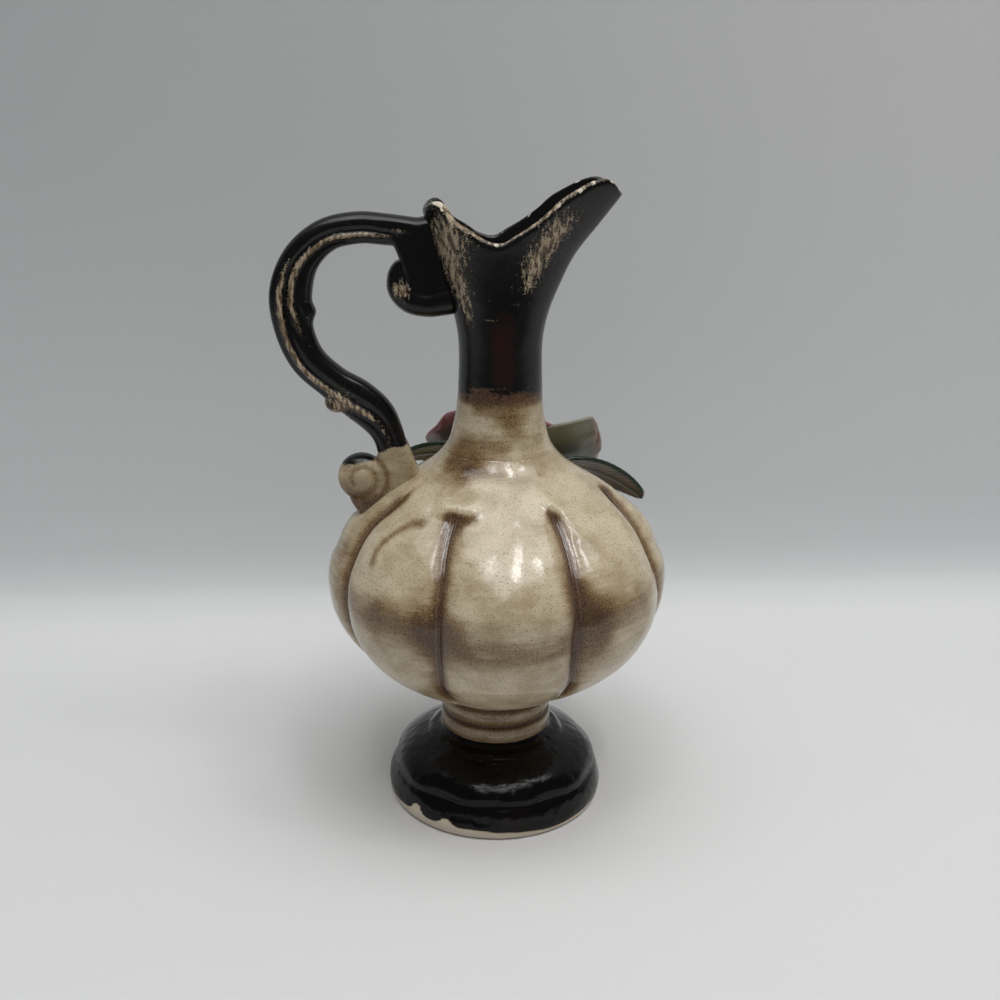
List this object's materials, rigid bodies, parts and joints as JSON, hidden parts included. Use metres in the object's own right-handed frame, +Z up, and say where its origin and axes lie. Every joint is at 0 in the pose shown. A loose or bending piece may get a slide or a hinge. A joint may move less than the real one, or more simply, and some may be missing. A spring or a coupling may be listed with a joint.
{
  "type": "miniature ewer",
  "caption": "Glazed miniature ewer with a lobed belly, beaked mouth, scroll handle and a hand-made rose with leaves on its shoulder.",
  "frame": {"origin": "middle of the foot ring's underside, on the table", "axes": "+Z up the jug's axis, +X towards the spout, -X towards the handle, +Y towards the rose on the far shoulder"},
  "size_m": [0.0855, 0.0809, 0.1372],
  "materials": {
    "dark_glaze": "glossy black-brown glaze",
    "cream_glaze": "glossy cream glaze sponged with brown",
    "petal_glaze": "glossy pink and pale grey-green glaze",
    "leaf_glaze": "glossy olive glaze with a brown underside"
  },
  "bodies": {
    "root": {"foot": "dark_glaze", "stem": "cream_glaze", "belly": "cream_glaze", "neck": "dark_glaze", "handle": "dark_glaze", "rose_heart": "petal_glaze", "rose_inner_petal_1": "petal_glaze", "rose_inner_petal_2": "petal_glaze", "rose_inner_petal_3": "petal_glaze", "rose_middle_petal_1": "petal_glaze", "rose_middle_petal_2": "petal_glaze", "rose_middle_petal_3": "petal_glaze", "rose_outer_petal_1": "petal_glaze", "rose_outer_petal_2": "petal_glaze", "rose_outer_petal_3": "petal_glaze", "rose_outer_petal_4": "petal_glaze", "rose_outer_petal_5": "petal_glaze", "rose_outer_petal_6": "petal_glaze", "leaf_1": "leaf_glaze", "leaf_2": "leaf_glaze", "leaf_3": "leaf_glaze"}
  },
  "joints": []
}
